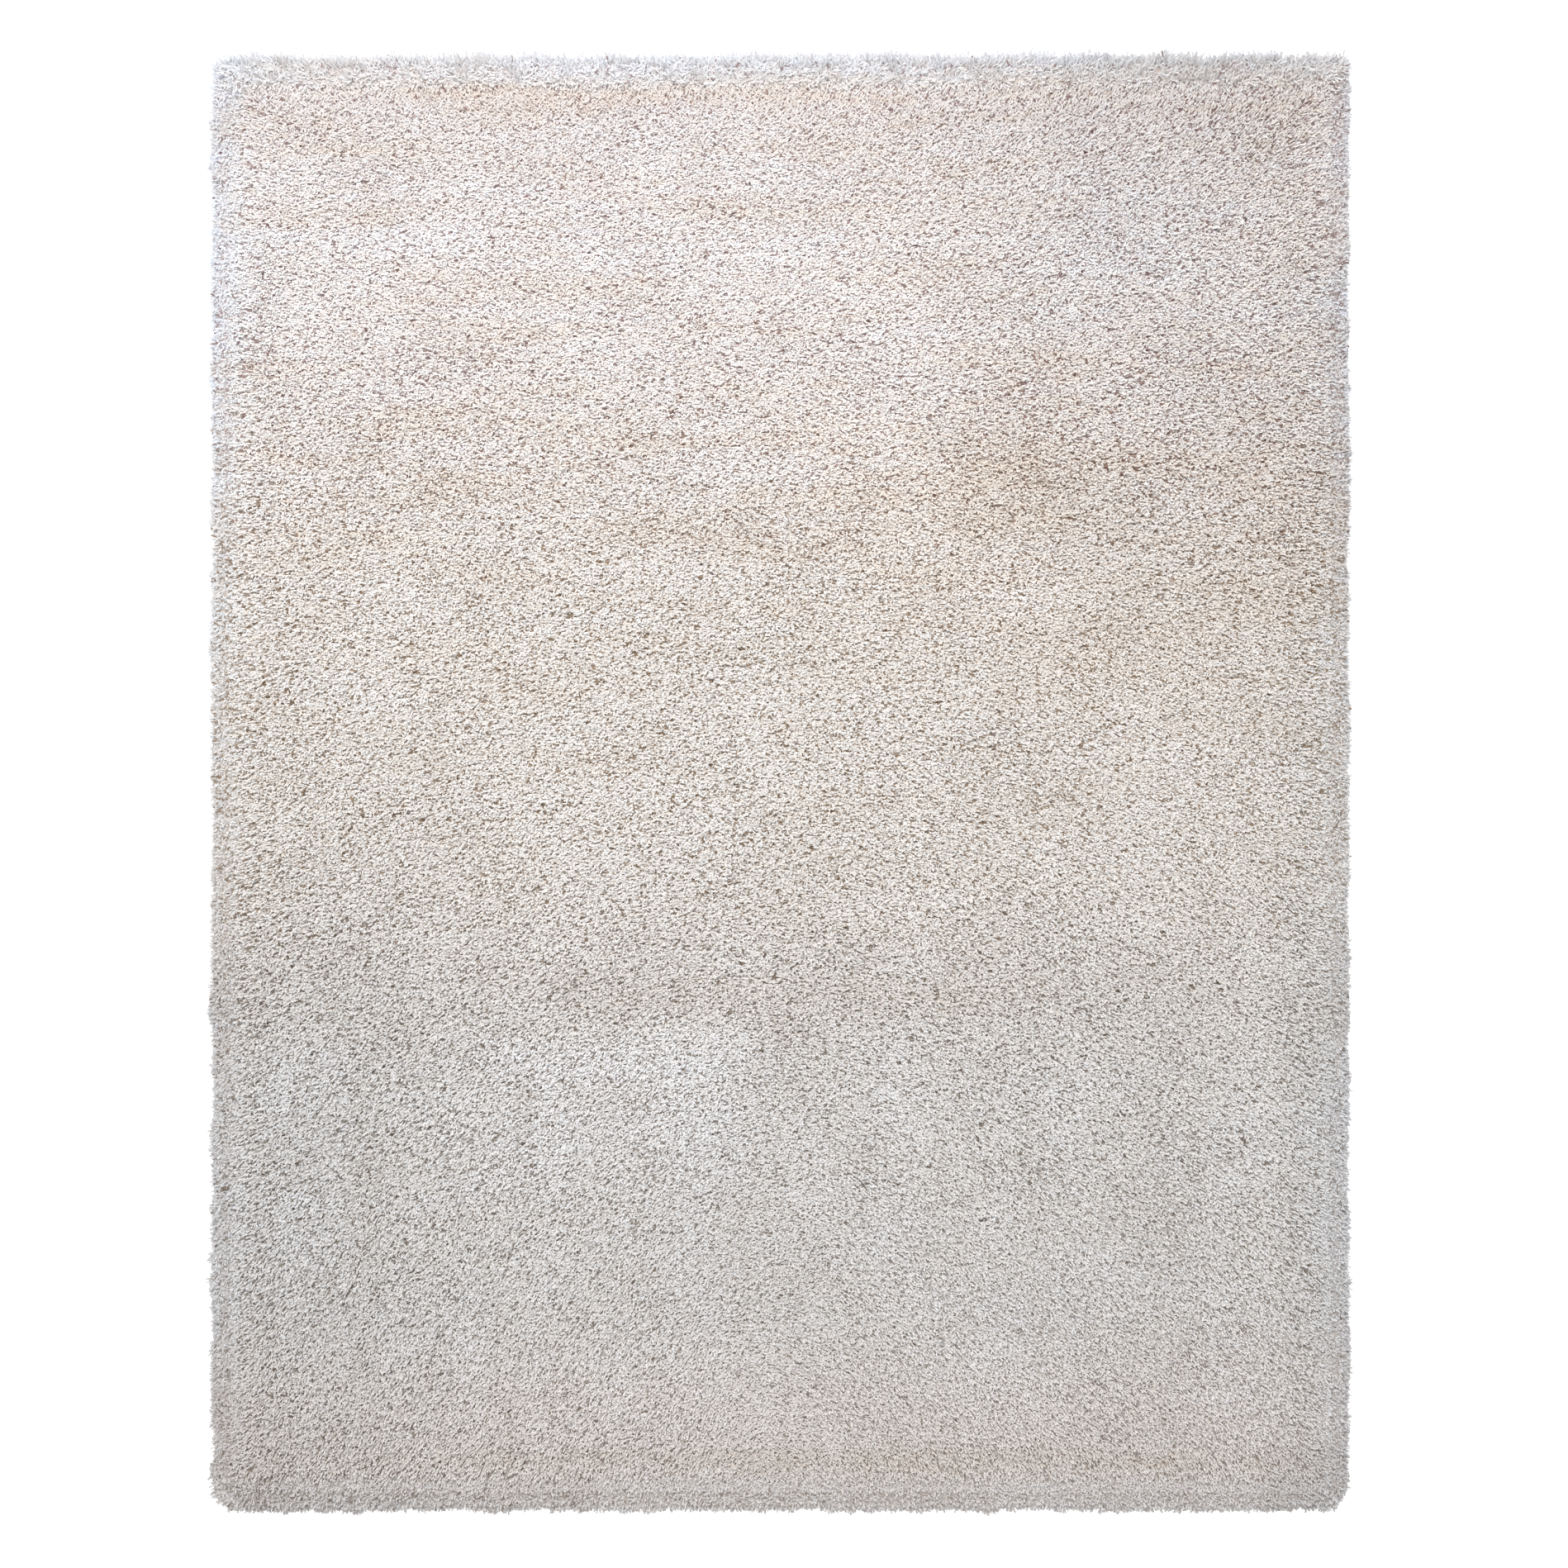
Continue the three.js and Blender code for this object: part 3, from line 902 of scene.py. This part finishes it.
# The pile's colour along y: warm and pale at the far end, greyer and darker at the near one, partly painted
# shade for light that falls off away from the key beyond the far end
RAMP_REACH = 1.55
RAMP_STOPS = (
    (-1.52, (0.707, 0.686, 0.683)),
    (-1.42, (0.775, 0.742, 0.722)),
    (-1.30, (0.812, 0.784, 0.775)),
    (-1.10, (0.806, 0.797, 0.796)),
    (-0.65, (0.844, 0.838, 0.839)),
    (-0.45, (0.824, 0.805, 0.793)),
    (-0.25, (0.876, 0.855, 0.836)),
    (0.20, (0.899, 0.883, 0.871)),
    (0.62, (0.916, 0.897, 0.889)),
    (1.10, (0.942, 0.940, 0.957)),
    (1.30, (0.900, 0.887, 0.896)),
    (1.43, (0.862, 0.838, 0.842)),
    (1.50, (0.880, 0.886, 0.905)),
)

# Streaks, flecks and lanes in the pile: scales by axis, detail, and the span of noise that draws them. Then
# where along y each shows, from one strength to another, and its colours
STREAK_ROUGHNESS = 0.6
STREAKS = ((2.2, 13.0, 1.0), 3.0, 0.38, 0.68)
STREAKS_Y = (-0.4, 0.8, 0.15, 0.75)
# The streaks' tint is painted warm shade where rows of pile lie differently
STREAK_SHADE_TINT = (0.965, 0.920, 0.862, 1.0)
FLECKS = ((32.0, 60.0, 1.0), 2.0, 0.36, 0.64)
FLECKS_Y = (-0.6, 0.8, 0.3, 1.0)
FLECK_TINTS = ((1.003, 1.006, 1.016, 1.0), (0.992, 0.966, 0.936, 1.0))
LANES = ((8.0, 0.7, 1.0), 2.0, 0.42, 0.60)
LANES_Y = (0.0, -0.6, 0.0, 0.6)
LANE_TINT = (0.965, 0.958, 0.948, 1.0)

# Broad clouds: the noise's scale and detail, the span that draws them, their share and their colour
CLOUD_SCALE = 3.2
CLOUD_DETAIL = 3.0
CLOUD_SPAN = (0.35, 0.68)
CLOUD_SHARE = 0.5
CLOUD_TINT = (0.95, 0.935, 0.91, 1.0)

# Painted shade on the sides, duller or bluer where less of the light from the far -X corner falls: the span
# across x, the span and strength along y, and the colour
SIDE_SHADE_BANDS = (
    ((0.15, 0.85), (-0.1, 0.75, 0.2, 1.0), grey(0.895)),
    ((-0.45, -1.10), (0.5, -0.9, 0.2, 1.0), (0.910, 0.915, 0.920, 1.0)),
    ((-1.05, -1.17), (-0.4, 0.9), (0.965, 0.995, 1.020, 1.0)),
    ((1.00, 1.16), (1.25, 0.95), (0.935, 0.945, 0.955, 1.0)),
)

# Painted light and shade where the pile is brushed another way and so looks warmer, paler or darker: middle,
# half size, colour, share. Their edges waver by so much of their half sizes, and fade over the span
PILE_LIGHT_AND_SHADE = (
    ((0.48, 0.595), (0.24, 0.10), (0.955, 0.935, 0.905), 0.9),
    ((0.42, 0.690), (0.15, 0.06), (0.965, 0.950, 0.925), 0.8),
    ((0.50, 0.415), (0.12, 0.07), (1.04, 1.05, 1.07), 0.9),
    ((-0.30, -0.575), (0.34, 0.08), (1.05, 1.06, 1.075), 0.9),
    ((-0.36, -0.72), (0.36, 0.20), (1.03, 1.035, 1.045), 0.8),
    ((1.12, -0.35), (0.12, 0.75), (0.972, 0.972, 0.970), 0.9),
    ((1.12, -1.46), (0.16, 0.12), (0.930, 0.930, 0.930), 0.9),
    ((-0.80, -1.44), (0.36, 0.06), (1.030, 1.030, 1.030), 0.9),
    ((-0.45, 1.235), (0.60, 0.035), (1.03, 1.04, 1.06), 0.8),
    ((-0.70, 1.14), (0.45, 0.030), (1.03, 1.04, 1.06), 0.8),
    ((-0.05, 1.452), (1.25, 0.034), (0.985, 0.968, 0.945), 0.9),
    ((0.75, 0.50), (0.75, 0.50), (1.005, 0.986, 0.966), 0.9),
    ((0.22, -1.412), (1.05, 0.030), (0.950, 0.928, 0.905), 0.9),
    ((0.10, -0.45), (0.60, 0.06), (0.975, 0.960, 0.940), 0.7),
    ((-1.05, -1.35), (0.28, 0.30), (0.985, 0.980, 0.970), 0.8),
)
WAVER = 1.3
WAVER_SCALE = 14.0
WAVER_DETAIL = 3.0
PATCH_FADE = (1.15, 0.45)

# Painted shadow colours for yarns sunk in pits, for roots, grooves and the ground: at the near end, in the
# middle, where they are brownest, and at the far end, and the spans along y where they change
PIT_TINTS = ((0.32, 0.26, 0.21, 1.0), (0.37, 0.26, 0.165, 1.0), (0.37, 0.235, 0.22, 1.0))
ROOT_SHADE_TINTS = ((0.90, 0.86, 0.82, 1.0), (0.91, 0.845, 0.775, 1.0), (0.91, 0.83, 0.815, 1.0))
GROOVE_SHADE_TINTS = ((0.66, 0.59, 0.53, 1.0), (0.67, 0.57, 0.47, 1.0), (0.68, 0.56, 0.53, 1.0))
GROUND_SHADE_TINTS = ((0.70, 0.61, 0.53, 1.0), (0.71, 0.59, 0.47, 1.0), (0.72, 0.575, 0.54, 1.0))
NEAR_TO_MIDDLE = (-0.5, 0.0)
MIDDLE_TO_FAR = (0.3, 1.0)

# A yarn's tone from the darkest to the lightest, and how far up from its root the painted shade reaches
TONE_SPAN = (-2.4, 2.4)
TONE_TINTS = ((0.94, 0.91, 0.88, 1), (1.03, 1.034, 1.042, 1))
ROOT_SHADE_SPAN = (0.0, 0.75)

# Painted bluish shade on the rim's sides along y, where the near edge takes a grey shade, and painted silvery
# sheen where yarns splay over the far end, dimming across x
RIM_SPAN = (0.15, 0.75)
RIM_TINTS_Y = (-0.3, 0.9)
RIM_SHADE_TINTS = ((0.895, 0.905, 0.925, 1), (0.890, 0.920, 0.965, 1))
NEAR_EDGE_Y = (-1.49, -1.43)
NEAR_EDGE_SHADE = grey(0.95)
SILVER_SPAN = (0.35, 1.0)
SILVER_Y = (1.36, 1.46, 0.0, 0.9)
SILVER_X = (-0.6, 1.1)
SILVER_SHEENS = ((0.885, 0.890, 0.915, 1), (0.705, 0.705, 0.730, 1))

# The fibres of a yarn, in noise read at this width and length, and the painted shade in the grooves between
# them
FIBRE_WIDTH = 0.0024
FIBRE_LENGTH = 0.0085
FIBRES = (1.0, 1.0, 0.5)
GROOVE_SHADE_SPAN = (0.20, 0.35)
FIBRE_TINT = grey(1.03)

# The ground's grain and the backing's weave, stains and fuzz: noise by scale, detail and roughness
GRAIN = (260.0, 3.0, 0.65)
GRAIN_SPAN = (0.3, 0.7)
GRAIN_TINT = (1.0, 0.94, 0.91, 1)
THREADS = (("X", 95.0), ("Y", 75.0))
WEAVE_SPAN = (0.0, 0.9)
WEAVE_TINT = grey(0.55)
STAINS = (6.0, 4.0, 0.6)
STAIN_SPAN = (0.3, 0.7)
STAIN_COLOURS = ((0.50, 0.42, 0.32, 1), (0.60, 0.52, 0.41, 1))
FUZZ = (190.0, 3.0, 0.6)
FUZZ_SHARE = 0.5
FUZZ_COLOUR = (0.80, 0.74, 0.64, 1)

YARN_SURFACE = {"Roughness": 0.62, "Sheen Weight": 0.25, "Sheen Roughness": 0.5, "Specular IOR Level": 0.35}
GROUND_SURFACE = {"Roughness": 0.95, "Specular IOR Level": 0.1, "Sheen Weight": 0.2}
BACKING_SURFACE = {"Roughness": 0.9, "Specular IOR Level": 0.2}


def rug_colour(nodes, places):
    """The pile's colour by place, with painted light and shade in it, and the places' x and y."""
    split = nodes.add("ShaderNodeSeparateXYZ", i0=places)
    x, y = split.outputs[0], split.outputs[1]
    # A ramp along y, partly painted shade that deepens towards the near end
    ramp = nodes.add("ShaderNodeValToRGB")
    nodes.feed(ramp.inputs[0], nodes.reach(y, -RAMP_REACH, RAMP_REACH, course="LINEAR"))
    while len(ramp.color_ramp.elements) < len(RAMP_STOPS):
        ramp.color_ramp.elements.new(0.5)
    for element, (position, stop) in zip(ramp.color_ramp.elements, RAMP_STOPS):
        element.position = (position + RAMP_REACH) / (2 * RAMP_REACH)
        element.color = (*stop, 1.0)
    colour = ramp.outputs[0]

    # Streaks along X, painted warm shade where rows of pile lie differently, and flecks, both strongest at
    # the far end
    streak_shade = nodes.math("MULTIPLY", nodes.streaks(places, *STREAKS), nodes.reach(y, *STREAKS_Y))
    colour = nodes.tint(streak_shade, colour, STREAK_SHADE_TINT)
    fleck = nodes.blend(nodes.streaks(places, *FLECKS), *FLECK_TINTS)
    colour = nodes.blend(nodes.reach(y, *FLECKS_Y), colour, nodes.tint(1.0, colour, fleck))
    cloud = nodes.reach(nodes.noise(places, CLOUD_SCALE, CLOUD_DETAIL, STREAK_ROUGHNESS), *CLOUD_SPAN)
    colour = nodes.tint(nodes.math("MULTIPLY", cloud, CLOUD_SHARE), colour, CLOUD_TINT)

    # Painted shade: the +X side is duller, most of all at the far end, and so is the -X side at the near end;
    # the -X edge takes a bluish shade and the +X edge a duller one
    for span_x, span_y, side_shade_tint in SIDE_SHADE_BANDS:
        side_shade = nodes.math("MULTIPLY", nodes.reach(x, *span_x), nodes.reach(y, *span_y))
        colour = nodes.tint(side_shade, colour, side_shade_tint)

    # Faint lanes down the near half
    lane = nodes.math("MULTIPLY", nodes.streaks(places, *LANES), nodes.reach(y, *LANES_Y))
    colour = nodes.tint(lane, colour, LANE_TINT)

    # Patches, listed one by one, with wavering edges
    # The patches are painted light and shade, paler, warmer or darker where the pile lies another way
    waver = nodes.add("ShaderNodeTexNoise", Vector=places, Scale=WAVER_SCALE, Detail=WAVER_DETAIL)
    shift = nodes.vectors("SUBTRACT", waver.outputs["Color"], (0.5, 0.5, 0.5))
    for middle, half, light_and_shade_tint, share in PILE_LIGHT_AND_SHADE:
        moved = nodes.vectors("MULTIPLY_ADD", shift, (WAVER * half[0], WAVER * half[1], 0.0), places)
        off = nodes.vectors("SUBTRACT", moved, (*middle, 0.0))
        scaled = nodes.vectors("MULTIPLY", off, (1 / half[0], 1 / half[1], 0.0))
        inside = nodes.reach(nodes.vectors("LENGTH", scaled), *PATCH_FADE, 0.0, share)
        colour = nodes.tint(inside, colour, (*light_and_shade_tint, 1.0))
    return colour, x, y


def by_place(nodes, y, tints):
    """One of three tints by the place along the rug, each fading into the next."""
    near, middle, far = tints
    nearer = nodes.blend(nodes.reach(y, *NEAR_TO_MIDDLE), near, middle)
    return nodes.blend(nodes.reach(y, *MIDDLE_TO_FAR), nearer, far)


def yarn_material():
    nodes = Nodes("shag_yarn")
    colour, x, y = rug_colour(nodes, nodes.places())

    # Each yarn has its own tone, painted shade down at its root, painted bluish shade at the rim, and painted
    # silvery sheen where it splays over the far end
    colour = nodes.tint(1.0, colour, nodes.blend(nodes.reach(nodes.value("tone"), *TONE_SPAN), *TONE_TINTS))
    along = nodes.value("along")
    # Painted shade down at each yarn's root
    depth = nodes.reach(along, *ROOT_SHADE_SPAN)
    colour = nodes.tint(1.0, colour, nodes.blend(depth, by_place(nodes, y, ROOT_SHADE_TINTS), grey(1.0)))
    # Painted bluish shade on yarns at the rim, greyer at the near edge
    rim = nodes.value("rim")
    rim_shade_tint = nodes.blend(nodes.reach(y, *RIM_TINTS_Y), *RIM_SHADE_TINTS)
    rim_shade_tint = nodes.blend(nodes.reach(y, *NEAR_EDGE_Y), NEAR_EDGE_SHADE, rim_shade_tint)
    colour = nodes.tint(nodes.reach(rim, *RIM_SPAN), colour, rim_shade_tint)
    # Painted silvery sheen where yarns splay over the far end, dimming towards +X
    silver_sheen = nodes.math("MULTIPLY", nodes.reach(rim, *SILVER_SPAN), nodes.reach(y, *SILVER_Y))
    fringe_sheen = nodes.blend(nodes.reach(x, *SILVER_X), *SILVER_SHEENS)
    colour = nodes.blend(nodes.math("MULTIPLY", silver_sheen, along), colour, fringe_sheen)

    # Painted shadow darkens yarns sunk in pits, and painted shade darkens the grooves between a yarn's
    # fibres, which run along it
    pit_shade = nodes.blend(nodes.value("pit"), grey(1.0), by_place(nodes, y, PIT_TINTS))
    colour = nodes.tint(1.0, colour, pit_shade)
    drawn = nodes.add("ShaderNodeUVMap", {"uv_map": "yarn"}).outputs[0]
    fibre = nodes.noise(nodes.stretched(drawn, (1 / FIBRE_WIDTH, 1 / FIBRE_LENGTH, 1.0)), *FIBRES)
    groove_shade = nodes.reach(fibre, *GROOVE_SHADE_SPAN)
    colour = nodes.tint(1.0, colour, nodes.blend(groove_shade, by_place(nodes, y, GROOVE_SHADE_TINTS), FIBRE_TINT))
    return nodes.finish(colour, YARN_SURFACE, relief=fibre, strength=0.5, distance=0.0010)


def ground_material():
    nodes = Nodes("shag_ground")
    places = nodes.places()
    colour, _, y = rug_colour(nodes, places)
    # The ground is darkened between the yarns as painted shade, broken by its grain
    grain = nodes.noise(places, *GRAIN)
    ground_shade = nodes.blend(nodes.reach(grain, *GRAIN_SPAN), by_place(nodes, y, GROUND_SHADE_TINTS), GRAIN_TINT)
    colour = nodes.tint(1.0, colour, ground_shade)
    return nodes.finish(colour, GROUND_SURFACE, relief=grain, strength=0.7, distance=0.002)


def backing_material():
    """A plain weave with faint stains and fuzz."""
    nodes = Nodes("woven_backing")
    places = nodes.places()
    threads = [
        nodes.add("ShaderNodeTexWave", {"bands_direction": way}, Vector=places, Scale=scale).outputs["Fac"]
        for way, scale in THREADS
    ]
    weave = nodes.math("MULTIPLY", *threads)
    colour = nodes.blend(nodes.reach(nodes.noise(places, *STAINS), *STAIN_SPAN), *STAIN_COLOURS)
    colour = nodes.blend(nodes.reach(weave, *WEAVE_SPAN), nodes.tint(1.0, colour, WEAVE_TINT), colour)
    fuzz = nodes.math("MULTIPLY", nodes.noise(places, *FUZZ), FUZZ_SHARE)
    colour = nodes.blend(fuzz, colour, FUZZ_COLOUR)
    return nodes.finish(colour, BACKING_SURFACE, relief=weave, strength=0.8, distance=0.0012)


# ---------------------------------------------------------------- studio

FLOOR_HALF = 12.0
FLOOR_SURFACE = {
    "Base Color": (0.92, 0.92, 0.92, 1),
    "Roughness": 0.9,
    "Emission Color": (1, 1, 1, 1),
    "Emission Strength": 0.5,
}
SKY_COLOUR = (0.96, 0.98, 1.0, 1)
SKY_STRENGTH = 0.825
KEY_PLACE = (-2.0, 6.4, 6.0)
KEY_AIM = (0.0, 0.3, 0.0)
KEY_SIZE = (4.0, 2.4)
KEY_POWER = 500
CAMERA_PLACE = (0.007, 0.0, 3.67)
CAMERA_LENS = 40.0
CAMERA_SENSOR = 36.0
CAMERA_REACH = 100.0


def build_floor():
    mesh = bpy.data.meshes.new("floor")
    corners = [(x * FLOOR_HALF, y * FLOOR_HALF, 0) for x, y in ((-1, -1), (1, -1), (1, 1), (-1, 1))]
    mesh.from_pydata(corners, [], [(0, 1, 2, 3)])
    floor = bpy.data.objects.new("floor", mesh)
    bpy.context.scene.collection.objects.link(floor)
    nodes = Nodes("pale_floor")
    for name, value in FLOOR_SURFACE.items():
        nodes.shader.inputs[name].default_value = value
    mesh.materials.append(nodes.material)


def build_light():
    """An even pale sky, and one large soft light from beyond the far end."""
    scene = bpy.context.scene
    scene.view_settings.view_transform = "Standard"
    world = bpy.data.worlds.new("studio")
    world.use_nodes = True
    sky = world.node_tree.nodes["Background"]
    sky.inputs["Color"].default_value = SKY_COLOUR
    sky.inputs["Strength"].default_value = SKY_STRENGTH
    scene.world = world
    light = bpy.data.lights.new("key", "AREA")
    light.shape = "RECTANGLE"
    light.size, light.size_y = KEY_SIZE
    light.energy = KEY_POWER
    lamp = bpy.data.objects.new("key", light)
    lamp.location = KEY_PLACE
    lamp.rotation_euler = (Vector(KEY_AIM) - Vector(KEY_PLACE)).to_track_quat("-Z", "Y").to_euler()
    scene.collection.objects.link(lamp)


def build_camera():
    """Straight above the rug, as in the photograph."""
    camera = bpy.data.cameras.new("camera")
    camera.lens = CAMERA_LENS
    camera.sensor_width = CAMERA_SENSOR
    camera.clip_end = CAMERA_REACH
    eye = bpy.data.objects.new("camera", camera)
    eye.location = CAMERA_PLACE
    bpy.context.scene.collection.objects.link(eye)
    bpy.context.scene.camera = eye


build_camera()
build_floor()
build_light()
yarn = yarn_material()
build_field(yarn)
build_rim(yarn)
build_loose(yarn)
build_ground(ground_material())
build_backing(backing_material())
